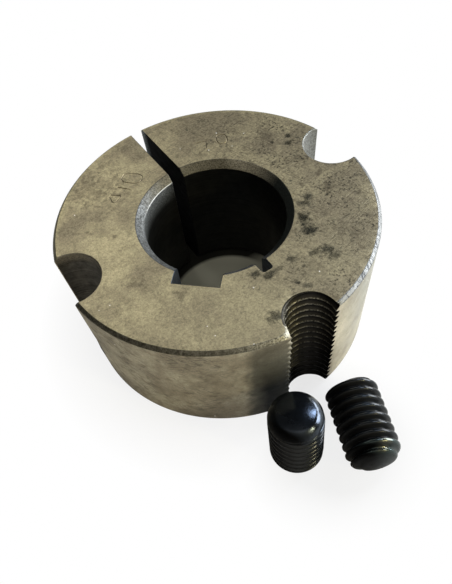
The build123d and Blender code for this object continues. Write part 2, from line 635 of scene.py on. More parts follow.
def makeScrew(name, node, materials, start, phase):
    # built standing on its socket end at the origin, then put where the frame says
    sheet = MeshSheet()
    columns = screws["columns"]
    length = screws["length"]
    step = screws["pitch"] / screws["stepsPerPitch"]
    dome = screws["dome"]
    levels = [dome * (ring / 12) ** 2 for ring in range(1, 13)]
    levels += [dome + shoulderLength() * ring / 22 for ring in range(1, 23)]
    while levels[-1] < length - screws["endBlend"] - step:
        levels.append(levels[-1] + step)
    levels += [length - 0.1, length - 0.04, length]
    rings = []
    for level in levels:
        ring = []
        for index in range(columns):
            turn = 2 * math.pi * index / columns
            radius = screwRadius(level, turn, start, phase)
            ring.append(sheet.point((radius * math.cos(turn), radius * math.sin(turn), length - level),
                                    level))
        rings.append(ring)
    flat = screws["socketWidth"] / 2
    socket = []
    for index in range(columns):
        turn = 2 * math.pi * index / columns
        corner = (turn + math.pi / 6) % (math.pi / 3) - math.pi / 6
        socket.append((turn, flat / math.cos(corner)))
    floor = screws["socketDepth"]
    for grow, height in (*screws["socketEdge"], (0.0, floor)):
        ring = []
        for turn, reach in socket:
            spot = ((reach + grow) * math.cos(turn), (reach + grow) * math.sin(turn), height)
            ring.append(sheet.point(spot, length - height))
        rings.append(ring)
    for first, second in zip(rings, rings[1:]):
        for index in range(columns):
            after = (index + 1) % columns
            inside = len(rings) - 4 <= rings.index(second)
            sheet.face([first[index], second[index], second[after], first[after]], 1 if inside else 0)
    tip = sheet.point((0, 0, length))
    pit = sheet.point((0, 0, floor + screws["pitDepth"]), length)
    for index in range(columns):
        after = (index + 1) % columns
        sheet.face([tip, rings[0][index], rings[0][after]])
        sheet.face([pit, rings[-1][after], rings[-1][index]], 1)
    piece = sheet.build(name, materials, 50, "fromTip")
    low, high = (Vector(corner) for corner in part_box(node))
    if high.z - low.z < 0.9 * length * mm:
        aim = polar(1, screws["lyingDirection"]).to_3d()
        piece.data.transform(aim.to_track_quat("Z", "Y").to_matrix().to_4x4())
    spots = [vertex.co for vertex in piece.data.vertices]
    ownLow = Vector([min(spot[axis] for spot in spots) for axis in range(3)])
    ownHigh = Vector([max(spot[axis] for spot in spots) for axis in range(3)])
    piece.data.transform(Matrix.Translation((low + high - ownLow - ownHigh) / 2))
    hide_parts(node)
    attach(piece, "root")
    return piece


def feed(tree, socket, value):
    # links a socket to what drives it, or sets it to a plain value
    if isinstance(value, bpy.types.NodeSocket):
        tree.links.new(value, socket)
    else:
        socket.default_value = value


def addNode(tree, kind, inputs=None, **settings):
    node = tree.nodes.new(kind)
    for name, value in settings.items():
        setattr(node, name, value)
    for name, value in (inputs or {}).items():
        feed(tree, node.inputs[name], value)
    return node


def newEffect(name, inputs, outputs):
    # a shader node group with named inputs and outputs
    tree = bpy.data.node_groups.new(name, "ShaderNodeTree")
    for label, kind, start in inputs:
        socket = tree.interface.new_socket(label, in_out="INPUT", socket_type="NodeSocket" + kind)
        if start is not None:
            socket.default_value = start
    for label, kind in outputs:
        tree.interface.new_socket(label, in_out="OUTPUT", socket_type="NodeSocket" + kind)
    return tree, tree.nodes.new("NodeGroupInput").outputs, tree.nodes.new("NodeGroupOutput")


def useEffect(tree, name, inputs):
    node = addNode(tree, "ShaderNodeGroup")
    node.node_tree = effects[name]
    for label, value in inputs.items():
        feed(tree, node.inputs[label], value)
    return node.outputs


def remap(tree, value, low, high, start=0.0, end=1.0):
    node = addNode(tree, "ShaderNodeMapRange", {0: value, 1: low, 2: high, 3: start, 4: end})
    node.clamp = True
    return node.outputs[0]


def calc(tree, operation, first, second=None):
    node = addNode(tree, "ShaderNodeMath", {0: first}, operation=operation)
    if second is not None:
        feed(tree, node.inputs[1], second)
    return node.outputs[0]


def times(tree, first, second):
    return calc(tree, "MULTIPLY", first, second)


def plus(tree, first, second):
    return calc(tree, "ADD", first, second)


def minus(tree, first, second):
    return calc(tree, "SUBTRACT", first, second)


def larger(tree, first, second):
    return calc(tree, "MAXIMUM", first, second)


def measure(tree, operation, first, second=None):
    # a length, a distance or how far one direction follows another
    inputs = {0: first} if second is None else {0: first, 1: second}
    return addNode(tree, "ShaderNodeVectorMath", inputs, operation=operation).outputs["Value"]


def axes(tree, where):
    return addNode(tree, "ShaderNodeSeparateXYZ", {0: where}).outputs


def flattened(tree, parts):
    return addNode(tree, "ShaderNodeCombineXYZ", {0: parts[0], 1: parts[1]}).outputs[0]


def blend(tree, amount, first, second, mode="MIX"):
    inputs = {0: amount, 6: first, 7: second}
    return addNode(tree, "ShaderNodeMix", inputs, data_type="RGBA", blend_type=mode).outputs[2]


def makeMottle():
    # cloudy staining of bare iron: broad clouds, smaller blotches and fine grain
    tree, given, out = newEffect("mottle", [
        ("Vector", "Vector", None), ("Cloud Size", "Float", 9.0), ("Blotch Size", "Float", 2.2),
        ("Grain Size", "Float", 0.35)], [("Clouds", "Float"), ("Blotches", "Float"), ("Grain", "Float")])
    for label, source, detail, rough in (("Clouds", "Cloud Size", 4.0, 0.6),
                                         ("Blotches", "Blotch Size", 5.0, 0.72),
                                         ("Grain", "Grain Size", 2.0, 0.6)):
        scale = calc(tree, "DIVIDE", 1.0, given[source])
        cloud = addNode(tree, "ShaderNodeTexNoise", {"Vector": given["Vector"], "Scale": scale,
                                                     "Detail": detail, "Roughness": rough})
        tree.links.new(cloud.outputs[0], out.inputs[label])
    return tree


def makeScratches():
    # fine straight scuffs that all run one way, thinned out in patches
    tree, given, out = newEffect("scratches", [
        ("Vector", "Vector", None), ("Turn", "Float", 0.0), ("Length", "Float", 6.0),
        ("Width", "Float", 0.12), ("Cover", "Float", 0.4)], [("Mask", "Float")])
    turned = addNode(tree, "ShaderNodeVectorRotate", {"Vector": given["Vector"], "Angle": given["Turn"]},
                     rotation_type="Z_AXIS")
    parts = addNode(tree, "ShaderNodeSeparateXYZ", {0: turned.outputs[0]})
    across = calc(tree, "DIVIDE", parts.outputs[1], given["Width"])
    along = calc(tree, "DIVIDE", parts.outputs[0], given["Length"])
    joined = addNode(tree, "ShaderNodeCombineXYZ", {0: along, 1: across, 2: parts.outputs[2]})
    lines = addNode(tree, "ShaderNodeTexNoise", {"Vector": joined.outputs[0], "Scale": 1.0, "Detail": 2.0})
    patches = addNode(tree, "ShaderNodeTexNoise", {"Vector": given["Vector"], "Scale": 0.16, "Detail": 2.0})
    sharp = remap(tree, lines.outputs[0], 0.56, 0.7)
    limit = minus(tree, 1.0, given["Cover"])
    upper = plus(tree, limit, 0.25)
    cover = addNode(tree, "ShaderNodeMapRange", {0: patches.outputs[0], 1: limit, 2: upper, 3: 0.0, 4: 1.0})
    mask = times(tree, sharp, cover.outputs[0])
    tree.links.new(mask, out.inputs["Mask"])
    return tree


def makeStain():
    # a soft mark at a chosen spot, with a ragged edge
    tree, given, out = newEffect("stain", [
        ("Vector", "Vector", None), ("Centre", "Vector", None), ("Size", "Vector", (1.0, 1.0, 1.0)),
        ("Turn", "Float", 0.0), ("Edge Noise", "Float", 0.5), ("Raggedness", "Float", 0.35),
        ("Softness", "Float", 0.5)], [("Mask", "Float")])
    shifted = addNode(tree, "ShaderNodeVectorMath", {0: given["Vector"], 1: given["Centre"]},
                      operation="SUBTRACT")
    turned = addNode(tree, "ShaderNodeVectorRotate", {"Vector": shifted.outputs[0], "Angle": given["Turn"]},
                     rotation_type="Z_AXIS")
    shaped = addNode(tree, "ShaderNodeVectorMath", {0: turned.outputs[0], 1: given["Size"]},
                     operation="DIVIDE")
    far = addNode(tree, "ShaderNodeVectorMath", {0: shaped.outputs[0]}, operation="LENGTH")
    centred = minus(tree, given["Edge Noise"], 0.5)
    shove = times(tree, centred, given["Raggedness"])
    edge = plus(tree, far.outputs["Value"], times(tree, shove, 4.0))
    inner = minus(tree, 1.0, given["Softness"])
    mask = addNode(tree, "ShaderNodeMapRange", {0: edge, 1: inner, 2: 1.0, 3: 1.0, 4: 0.0},
                   interpolation_type="SMOOTHSTEP")
    tree.links.new(mask.outputs[0], out.inputs["Mask"])
    return tree


def makeSpecks():
    # tiny scattered nicks
    tree, given, out = newEffect("specks", [
        ("Vector", "Vector", None), ("Spacing", "Float", 1.0), ("Radius", "Float", 0.12),
        ("Share", "Float", 0.1)], [("Mask", "Float")])
    scale = calc(tree, "DIVIDE", 1.0, given["Spacing"])
    cells = addNode(tree, "ShaderNodeTexVoronoi", {"Vector": given["Vector"], "Scale": scale})
    away = times(tree, cells.outputs["Distance"], given["Spacing"])
    inside = calc(tree, "LESS_THAN", away, given["Radius"])
    chance = addNode(tree, "ShaderNodeSeparateXYZ", {0: cells.outputs["Color"]})
    chosen = calc(tree, "LESS_THAN", chance.outputs[0], given["Share"])
    tree.links.new(times(tree, inside, chosen), out.inputs["Mask"])
    return tree


def makeToolMarks():
    # fine rings left by the lathe, along the axis on a wall
    tree, given, out = newEffect("tool marks", [
        ("Vector", "Vector", None), ("Feed", "Float", 0.25), ("Wander", "Float", 0.4)],
        [("Height", "Float")])
    parts = addNode(tree, "ShaderNodeSeparateXYZ", {0: given["Vector"]})
    rise = calc(tree, "DIVIDE", parts.outputs[2], given["Feed"])
    thin = addNode(tree, "ShaderNodeCombineXYZ", {0: times(tree, parts.outputs[0], 0.05),
                                                  1: times(tree, parts.outputs[1], 0.05), 2: rise})
    lines = addNode(tree, "ShaderNodeTexNoise", {"Vector": thin.outputs[0], "Scale": 1.0, "Detail": 2.0,
                                                 "Distortion": given["Wander"]})
    tree.links.new(lines.outputs[0], out.inputs["Height"])
    return tree


effects = {
    "mottle": makeMottle(),
    "scratches": makeScratches(),
    "stain": makeStain(),
    "specks": makeSpecks(),
    "toolMarks": makeToolMarks(),
}


def mottle(tree, where, cloudSize, blotchSize, grainSize):
    sizes = {"Cloud Size": cloudSize, "Blotch Size": blotchSize, "Grain Size": grainSize}
    return useEffect(tree, "mottle", {"Vector": where, **sizes})


def scratchMask(tree, where, turn, length, width, cover):
    inputs = {"Vector": where, "Turn": turn, "Length": length, "Width": width, "Cover": cover}
    return useEffect(tree, "scratches", inputs)["Mask"]


def speckMask(tree, where, spacing, radius, share):
    inputs = {"Vector": where, "Spacing": spacing, "Radius": radius, "Share": share}
    return useEffect(tree, "specks", inputs)["Mask"]


def latheRings(tree, where, feedStep, wander):
    return useEffect(tree, "toolMarks", {"Vector": where, "Feed": feedStep, "Wander": wander})["Height"]


def grainOver(tree, colour, grain):
    # darkens and lightens a colour by a grey grain
    grey = addNode(tree, "ShaderNodeCombineColor", {0: grain, 1: grain, 2: grain}).outputs[0]
    return blend(tree, 1.0, colour, grey, "MULTIPLY")


def newMaterial(name):
    material = bpy.data.materials.new(name)
    material.use_nodes = True
    tree = material.node_tree
    shader = tree.nodes["Principled BSDF"]
    where = addNode(tree, "ShaderNodeTexCoord").outputs["Object"]
    inMm = addNode(tree, "ShaderNodeVectorMath", {0: where, "Scale": 1 / mm}, operation="SCALE").outputs[0]
    return material, tree, shader, inMm


def surfaceBump(tree, shader, height, depth, strength=1.0):
    bump = addNode(tree, "ShaderNodeBump", {"Height": height, "Distance": depth * mm, "Strength": strength})
    tree.links.new(bump.outputs[0], shader.inputs["Normal"])


faceLook = {
    "clean": (0.49, 0.43, 0.265, 1), "brown": (0.285, 0.245, 0.16, 1), "stain": (0.016, 0.02, 0.017, 1),
    "dusty": (0.085, 0.068, 0.045, 1), "edge": (0.56, 0.5, 0.29, 1),
    "fleck": (0.03, 0.027, 0.019, 1), "speck": (0.95, 0.93, 0.88, 1),
    "metallic": 0.72, "cloudSize": 8.0, "blotchSize": 2.2, "grainSize": 0.34,
    # each pair below: where a mask starts and where it is full, in millimetres
    "rightSide": (-12.0, 12.0),
    "calmFront": (-5.0, -15.0),
    "fleckSide": (-4.0, 15.0),
    "farSide": (2.0, 12.0),
}

# dark oily marks on the large end: centre, size, turn and strength
faceStains = [
    ((22.0, 7.9), (1.2, 0.75), 0.2, 1.0), ((20.9, 6.4), (1.2, 0.8), 0.1, 1.0),
    ((18.6, 8.3), (0.55, 0.5), 0.0, 0.9), ((14.9, -7.2), (1.3, 1.1), 0.5, 0.85),
    ((13.6, -8.0), (1.9, 1.1), 0.3, 0.75), ((11.4, -10.5), (1.5, 1.5), 0.9, 1.0),
    ((10.4, -13.3), (1.8, 1.6), 0.2, 1.0), ((10.8, -11.8), (1.1, 1.5), 0.0, 0.7),
    ((10.0, -18.4), (2.2, 1.4), 0.6, 0.8), ((10.0, -20.1), (1.5, 1.1), 0.2, 0.7),
    ((8.2, -17.8), (1.6, 1.2), 0.4, 0.5), ((4.3, -16.5), (1.4, 1.3), 0.3, 0.6),
    ((-2.2, -15.4), (1.5, 1.1), 0.4, 0.9), ((-0.7, -16.9), (1.8, 1.1), 0.2, 0.85),
    ((1.2, -16.9), (1.6, 0.8), 0.3, 0.5), ((2.1, -20.9), (0.9, 0.4), 0.7, 0.9),
    ((2.9, -22.3), (1.1, 0.8), 0.5, 0.6), ((-4.6, -23.9), (1.7, 1.5), 0.3, 0.8),
]

# softer brown marks
faceSmudges = [
    ((18.6, 10.4), (1.8, 3.0), 0.3, 0.7), ((19.6, 1.8), (2.2, 1.6), 0.4, 0.7),
    ((20.4, -3.5), (1.7, 1.2), 0.0, 0.7), ((19.1, -7.5), (1.1, 2.4), 0.5, 0.8),
    ((22.3, -11.7), (1.6, 1.1), 0.9, 0.7), ((16.1, -3.8), (0.9, 0.9), 0.0, 0.7),
    ((15.0, -17.0), (4.0, 3.0), 0.6, 0.45), ((6.5, -19.5), (4.5, 3.5), 0.3, 0.45),
    ((6.3, 14.0), (1.6, 1.4), 0.2, 0.5), ((-13.6, -11.3), (2.2, 1.2), 0.2, 0.6),
    ((-18.6, -5.0), (2.4, 1.4), 0.4, 0.5), ((-16.5, 6.4), (1.5, 0.9), 0.1, 0.7),
    ((-19.7, 9.6), (1.6, 0.7), 0.3, 0.5), ((-10.0, 23.6), (1.4, 1.4), 0.3, 0.5),
    ((-15.4, 14.6), (0.7, 0.6), 0.0, 0.6), ((-14.5, 19.5), (9.0, 6.0), 0.7, 0.6),
]


def stainLayer(tree, where, marked, edgeNoise, softness, raggedness):
    # all the marks of one list joined into one mask
    joined = None
    for centre, size, turn, strength in marked:
        mask = useEffect(tree, "stain", {"Vector": where, "Centre": (*centre, bush["length"]),
                                         "Size": (*size, 4.0), "Turn": turn, "Edge Noise": edgeNoise,
                                         "Softness": softness, "Raggedness": raggedness})["Mask"]
        mask = times(tree, mask, strength)
        joined = mask if joined is None else larger(tree, joined, mask)
    return joined


def faceMaterial():
    look = faceLook
    material, tree, shader, where = newMaterial("iron face")
    cloud = mottle(tree, where, look["cloudSize"], look["blotchSize"], look["grainSize"])
    fine = mottle(tree, where, 2.6, 0.9, 0.2)
    parts = axes(tree, where)
    # the far right side is browner and more marked
    slant = plus(tree, times(tree, parts[0], 0.95), times(tree, parts[1], 0.2))
    rightness = remap(tree, slant, *look["rightSide"])
    # the front is the most even part
    calm = remap(tree, parts[1], *look["calmFront"], 1.0, 0.5)
    clouds = times(tree, remap(tree, cloud["Clouds"], 0.4, 0.64), calm)
    clouds = plus(tree, clouds, remap(tree, calm, 0.5, 1.0, 0.2, 0.0))
    clouds = plus(tree, clouds, times(tree, rightness, 0.4))
    colour = blend(tree, clouds, look["clean"], look["brown"])
    strength = remap(tree, rightness, 0.0, 1.0, 0.3, 0.6)
    blotches = times(tree, remap(tree, cloud["Blotches"], 0.52, 0.64), strength)
    colour = blend(tree, times(tree, blotches, 0.7), colour, look["dusty"])
    # ragged brown smudges and crossing scuffs, mostly on the right
    smudges = stainLayer(tree, where, faceSmudges, fine["Blotches"], 0.95, 0.9)
    colour = blend(tree, times(tree, smudges, 0.75), colour, look["dusty"])
    hatchOne = scratchMask(tree, where, 1.25, 1.7, 0.26, 0.9)
    hatchTwo = scratchMask(tree, where, 2.95, 1.7, 0.26, 0.9)
    hatch = times(tree, larger(tree, hatchOne, hatchTwo), rightness)
    colour = blend(tree, times(tree, hatch, 0.5), colour, look["dusty"])
    crisp = mottle(tree, where, 5.0, 1.3, 0.5)
    flecks = times(tree, remap(tree, crisp["Grain"], 0.55, 0.62), remap(tree, crisp["Clouds"], 0.46, 0.58))
    lowRight = minus(tree, times(tree, parts[0], 0.95), times(tree, parts[1], 0.35))
    flecks = times(tree, flecks, remap(tree, lowRight, *look["fleckSide"], 0.12, 0.8))
    colour = blend(tree, flecks, colour, look["fleck"])
    dirt = times(tree, remap(tree, fine["Blotches"], 0.54, 0.64), remap(tree, fine["Clouds"], 0.46, 0.58))
    dirt = times(tree, dirt, remap(tree, rightness, 0.2, 1.0, 0.15, 0.7))
    colour = blend(tree, dirt, colour, look["stain"])
    # painted highlight: the far edge is made a little lighter
    flat = flattened(tree, parts)
    reach = measure(tree, "LENGTH", flat)
    outermost = bush["topRadius"] - bush["topChamfer"]
    paintedFarEdgeHighlight = times(tree, remap(tree, reach, outermost - 0.9, outermost - 0.1),
                    remap(tree, parts[1], *look["farSide"], 0.0, 0.4))
    colour = blend(tree, paintedFarEdgeHighlight, colour, look["edge"])
    # grain of the turned iron, light and dark
    grains = plus(tree, times(tree, cloud["Grain"], 0.4), times(tree, fine["Grain"], 0.3))
    mixedGrain = plus(tree, grains, times(tree, fine["Blotches"], 0.3))
    grain = remap(tree, mixedGrain, 0.38, 0.62, 0.66, 1.3)
    colour = grainOver(tree, colour, grain)
    # dirt left in the punched marks
    top = bush["length"]
    inMarks = times(tree, remap(tree, parts[2], top - 0.02, top - 0.07),
                    remap(tree, parts[2], top - 1.0, top - 0.5))
    colour = blend(tree, times(tree, inMarks, 0.75), colour, look["dusty"])
    stained = stainLayer(tree, where, faceStains, fine["Blotches"], 0.8, 0.6)
    grainy = times(tree, stained, remap(tree, fine["Grain"], 0.4, 0.6, 1.0, 0.6))
    colour = blend(tree, grainy, colour, look["stain"])
    specks = speckMask(tree, where, 2.0, 0.14, 0.14)
    colour = blend(tree, specks, colour, look["speck"])
    tree.links.new(colour, shader.inputs["Base Color"])
    shader.inputs["Metallic"].default_value = look["metallic"]
    rough = remap(tree, cloud["Blotches"], 0.35, 0.7, 0.46, 0.62)
    tree.links.new(minus(tree, rough, times(tree, stained, 0.18)), shader.inputs["Roughness"])
    height = plus(tree, plus(tree, mixedGrain, fine["Blotches"]), times(tree, hatch, -0.6))
    surfaceBump(tree, shader, height, 0.024)
    return material


taperLook = {
    "clean": (0.52, 0.47, 0.34, 1), "brown": (0.275, 0.235, 0.16, 1), "dark": (0.012, 0.014, 0.012, 1),
    "grime": (0.12, 0.10, 0.065, 1), "wrinkle": (0.055, 0.047, 0.034, 1),
    "metallic": 0.6, "cloudSize": 7.0, "blotchSize": 2.4, "grainSize": 0.3,
    # the lighter outer part and the dark core of the painted shadow and reflection of the standing screw;
    # the dark colour above serves both it and the dirt
    "filmEdge": (-12.1, -10.5), "film": (0.07, 0.072, 0.056, 1),
    "patchEdge": (-11.0, -8.3), "patchRise": (20.0, 10.0),
    "smoke": (0.225, 0.228, 0.205, 1),
    # each pair below: where a mask starts and where it is full, in millimetres
    "lowDirt": (0.0, 6.0),
    "leftSide": (6.0, -20.0),
    "besideAcross": (2.0, -1.0),
    "besideAlong": (-8.0, -14.0),
    "filmRise": (25.0, 19.0),
    "smokeSide": (4.0, 12.0),
    "smokeRise": (2.0, 22.0),
}


def taperMaterial():
    look = taperLook
    material, tree, shader, where = newMaterial("iron taper")
    cloud = mottle(tree, where, look["cloudSize"], look["blotchSize"], look["grainSize"])
    fine = mottle(tree, where, 3.0, 0.9, 0.16)
    rings = latheRings(tree, where, 0.22, 0.2)
    parts = axes(tree, where)
    # browner and darker towards the bottom
    lowDown = remap(tree, parts[2], *look["lowDirt"], 0.45, 0.0)
    # the side turned to the left is the dirtier one
    leftness = remap(tree, parts[0], *look["leftSide"])
    clouds = plus(tree, remap(tree, cloud["Clouds"], 0.38, 0.66), lowDown)
    clouds = plus(tree, clouds, times(tree, leftness, 0.2))
    colour = blend(tree, clouds, look["clean"], look["brown"])
    strength = remap(tree, leftness, 0.0, 1.0, 0.15, 0.65)
    blotches = times(tree, remap(tree, cloud["Blotches"], 0.5, 0.68), strength)
    colour = blend(tree, blotches, colour, look["grime"])
    dirt = times(tree, remap(tree, fine["Blotches"], 0.54, 0.7), remap(tree, fine["Clouds"], 0.48, 0.64))
    dirt = times(tree, dirt, remap(tree, leftness, 0.2, 0.8, 0.1, 0.8))
    colour = blend(tree, dirt, colour, look["dark"])
    # painted shadow and reflection of the standing screw beside the tapped hole, with a fairly sharp edge:
    # a lighter outer part and a dark core
    wander = times(tree, minus(tree, cloud["Blotches"], 0.5), 2.5)
    ragged = plus(tree, parts[0], wander)
    beside = times(tree, remap(tree, parts[0], *look["besideAcross"]),
                   remap(tree, parts[1], *look["besideAlong"]))
    film = times(tree, remap(tree, ragged, *look["filmEdge"]), beside)
    film = times(tree, film, remap(tree, parts[2], *look["filmRise"], 0.45, 0.75))
    colour = blend(tree, film, colour, look["film"])
    patch = times(tree, remap(tree, ragged, *look["patchEdge"]), beside)
    patch = times(tree, patch, remap(tree, parts[2], *look["patchRise"]))
    colour = blend(tree, times(tree, patch, 0.95), colour, look["dark"])
    # wrinkled scuffs around the left side, drawn on the wall unrolled flat
    turn = times(tree, calc(tree, "ARCTAN2", parts[1], parts[0]), bush["topRadius"])
    unrolled = addNode(tree, "ShaderNodeCombineXYZ", {0: turn, 1: parts[2]}).outputs[0]
    wrinkles = [scratchMask(tree, unrolled, slope, 2.6, 0.36, 0.6) for slope in (0.7, -0.25)]
    wrinkled = remap(tree, larger(tree, *wrinkles), 0.0, 0.55)
    wrinkled = times(tree, wrinkled, remap(tree, leftness, 0.55, 0.9))
    colour = blend(tree, times(tree, wrinkled, 0.6), colour, look["wrinkle"])
    mixedGrain = plus(tree, times(tree, cloud["Grain"], 0.6), times(tree, fine["Grain"], 0.4))
    grain = remap(tree, mixedGrain, 0.36, 0.64, 0.76, 1.2)
    colour = grainOver(tree, colour, grain)
    specks = speckMask(tree, where, 2.4, 0.14, 0.08)
    colour = blend(tree, specks, colour, faceLook["speck"])
    # greyer and darker over the right side, more so towards the top
    greyerRight = times(tree, remap(tree, parts[0], *look["smokeSide"]),
                  remap(tree, parts[2], *look["smokeRise"], 0.4, 0.8))
    colour = blend(tree, greyerRight, colour, look["smoke"])
    tree.links.new(colour, shader.inputs["Base Color"])
    shader.inputs["Metallic"].default_value = look["metallic"]
    tree.links.new(remap(tree, cloud["Blotches"], 0.35, 0.7, 0.42, 0.58), shader.inputs["Roughness"])
    height = plus(tree, times(tree, rings, 0.7), fine["Blotches"])
    surfaceBump(tree, shader, height, 0.022)
    return material


rimLook = {
    "bright": (0.125, 0.115, 0.085, 1), "dull": (0.05, 0.045, 0.032, 1),
    "scuff": (0.078, 0.081, 0.081, 1), "frontScuff": (0.145, 0.148, 0.145, 1),
    "far": (0.16, 0.145, 0.08, 1),
    "scratch": (0.022, 0.025, 0.028, 1), "cream": (0.27, 0.255, 0.2, 1), "metallic": 0.8,
    # each pair below: where a mask starts and where it is full, in millimetres
    "rubbedSide": (0.0, 6.0),
    "litSide": (-15.0, -6.5),
    "litFront": (-20.0, -25.0),
    "litEnd": (1.0, -1.0),
    "farSide": (3.0, 14.0),
    "frontSide": (-6.0, -20.0),
    "scuffEnd": (14.0, 8.0),
}


def rimMaterial():
    # the outer chamfer: oily at the front and left, rubbed and scratched on the right; the scuff is made
    # lighter towards the front as painted light, and the cream patch at the front-left by the tapped hole
    # is painted light
    look = rimLook
    material, tree, shader, where = newMaterial("iron rim")
    cloud = mottle(tree, where, 5.0, 0.7, 0.22)
    lengthwise = scratchMask(tree, where, -1.1, 4.0, 0.28, 0.9)
    crosswise = scratchMask(tree, where, 0.9, 1.4, 0.2, 0.8)
    parts = axes(tree, where)
    rubbed = remap(tree, parts[0], *look["rubbedSide"])
    colour = blend(tree, remap(tree, cloud["Blotches"], 0.36, 0.62), look["bright"], look["dull"])
    lit = times(tree, remap(tree, parts[0], *look["litSide"]), remap(tree, parts[1], *look["litFront"]))
    lit = times(tree, lit, remap(tree, parts[0], *look["litEnd"]))
    colour = blend(tree, times(tree, lit, remap(tree, cloud["Grain"], 0.35, 0.6)), colour, look["cream"])
    colour = blend(tree, remap(tree, parts[1], *look["farSide"]), colour, look["far"])
    # painted light: the scuff is made lighter towards the front
    scuff = blend(tree, remap(tree, parts[1], *look["frontSide"]), look["scuff"], look["frontScuff"])
    colour = blend(tree, times(tree, rubbed, remap(tree, parts[1], *look["scuffEnd"])), colour, scuff)
    scratched = remap(tree, larger(tree, lengthwise, crosswise), 0.0, 0.6)
    scratched = times(tree, scratched, rubbed)
    colour = blend(tree, times(tree, scratched, 0.85), colour, look["scratch"])
    grain = remap(tree, cloud["Grain"], 0.3, 0.7, 0.72, 1.28)
    tree.links.new(grainOver(tree, colour, grain), shader.inputs["Base Color"])
    shader.inputs["Metallic"].default_value = look["metallic"]
    tree.links.new(remap(tree, cloud["Blotches"], 0.3, 0.7, 0.42, 0.58), shader.inputs["Roughness"])
    surfaceBump(tree, shader, plus(tree, cloud["Grain"], scratched), 0.014)
    return material


boreRimLook = {
    "bright": (0.13, 0.135, 0.133, 1), "dull": (0.038, 0.039, 0.036, 1), "edge": (0.42, 0.42, 0.4, 1),
    "brown": (0.085, 0.076, 0.052, 1),
    "backRight": (0.22, 0.2, 0.15, 1), "dark": (0.02, 0.024, 0.021, 1), "metallic": 0.8,
    # each pair below: where a mask starts and where it is full, in millimetres
    "backAlong": (1.0, 8.0),
    "backAcross": (-9.5, -3.0),
    "backRightSide": (8.6, 10.4),
    "oilyAcross": (1.0, 4.0),
    "oilyAlong": (4.5, -0.5),
    "edgeAlong": (8.0, 11.0),
    "edgeAcross": (-0.5, -2.0),
}


def boreRimMaterial():
    # the bore's chamfer: bare on the left; darker brown at the back, partly its own tint and partly painted
    # shade; near black on the right as painted shade; a lighter patch at the back right as painted light,
    # and a painted highlight along its inner edge
    look = boreRimLook
    material, tree, shader, where = newMaterial("iron bore rim")
    cloud = mottle(tree, where, 4.0, 0.6, 0.22)
    parts = axes(tree, where)
    colour = blend(tree, remap(tree, cloud["Blotches"], 0.38, 0.64), look["bright"], look["dull"])
    # partly its own brown tint, partly painted shade: darker brown at the back
    back = times(tree, remap(tree, parts[1], *look["backAlong"]),
                 remap(tree, parts[0], *look["backAcross"]))
    colour = blend(tree, back, colour, look["brown"])
    # painted light: lighter at the back right
    colour = blend(tree, remap(tree, parts[0], *look["backRightSide"]), colour, look["backRight"])
    # painted shade: the right side is made near black
    paintedRightShade = times(tree, remap(tree, parts[0], *look["oilyAcross"]),
                 remap(tree, parts[1], *look["oilyAlong"]))
    colour = blend(tree, paintedRightShade, colour, look["dark"])
    # painted highlight: a thin bright line along the inner edge of the chamfer
    foot = bush["length"] - bush["boreChamfer"]
    line = times(tree, remap(tree, parts[2], foot + 0.13, foot + 0.07),
                 remap(tree, parts[1], *look["edgeAlong"]))
    line = times(tree, line, remap(tree, parts[0], *look["edgeAcross"]))
    grain = remap(tree, cloud["Grain"], 0.36, 0.64, 0.5, 1.5)
    colour = grainOver(tree, colour, grain)
    colour = blend(tree, line, colour, look["edge"])
    tree.links.new(colour, shader.inputs["Base Color"])
    shader.inputs["Metallic"].default_value = look["metallic"]
    tree.links.new(remap(tree, cloud["Blotches"], 0.3, 0.7, 0.56, 0.66), shader.inputs["Roughness"])
    surfaceBump(tree, shader, cloud["Grain"], 0.012)
    return material


def wallMaterial(name, light, dark, metallic, feedStep, bumpDepth, gloss=0.5, cleaned=(), rough=0.3):
    # a machined wall with ring marks and a film of oil, and lighter patches of painted light
    material, tree, shader, where = newMaterial(name)
    cloud = mottle(tree, where, 6.0, 1.6, 0.3)
    rings = latheRings(tree, where, feedStep, 0.3)
    mixed = plus(tree, times(tree, cloud["Blotches"], 0.6), times(tree, rings, 0.4))
    colour = blend(tree, remap(tree, mixed, 0.38, 0.62), light, dark)
    parts = axes(tree, where)
    for patch in cleaned:
        # painted light: a lighter patch between two heights on one side, where light falls on the wall
        clean = times(tree, remap(tree, parts[2], *patch["height"]), remap(tree, parts[0], *patch["side"]))
        if "along" in patch:
            clean = times(tree, clean, remap(tree, parts[1], *patch["along"]))
        clean = times(tree, clean, remap(tree, cloud["Grain"], 0.38, 0.62, 0.35, 1.0))
        colour = blend(tree, clean, colour, patch["colour"])
    tree.links.new(colour, shader.inputs["Base Color"])
    shader.inputs["Metallic"].default_value = metallic
    shader.inputs["Specular IOR Level"].default_value = gloss
    tree.links.new(remap(tree, mixed, 0.35, 0.65, rough, rough + 0.15), shader.inputs["Roughness"])
    surfaceBump(tree, shader, plus(tree, rings, times(tree, cloud["Grain"], 0.3)), bumpDepth)
    return material


threadLook = {
    "crest": (0.34, 0.32, 0.25, 1), "flank": (0.02, 0.018, 0.013, 1), "root": (0.003, 0.0028, 0.0025, 1),
    "metallic": 0.7,
    # each pair below: where a mask starts and where it is full, in millimetres
    "crestDepth": (0.02, 0.13),
    "lowRise": (8.0, 22.0),
}


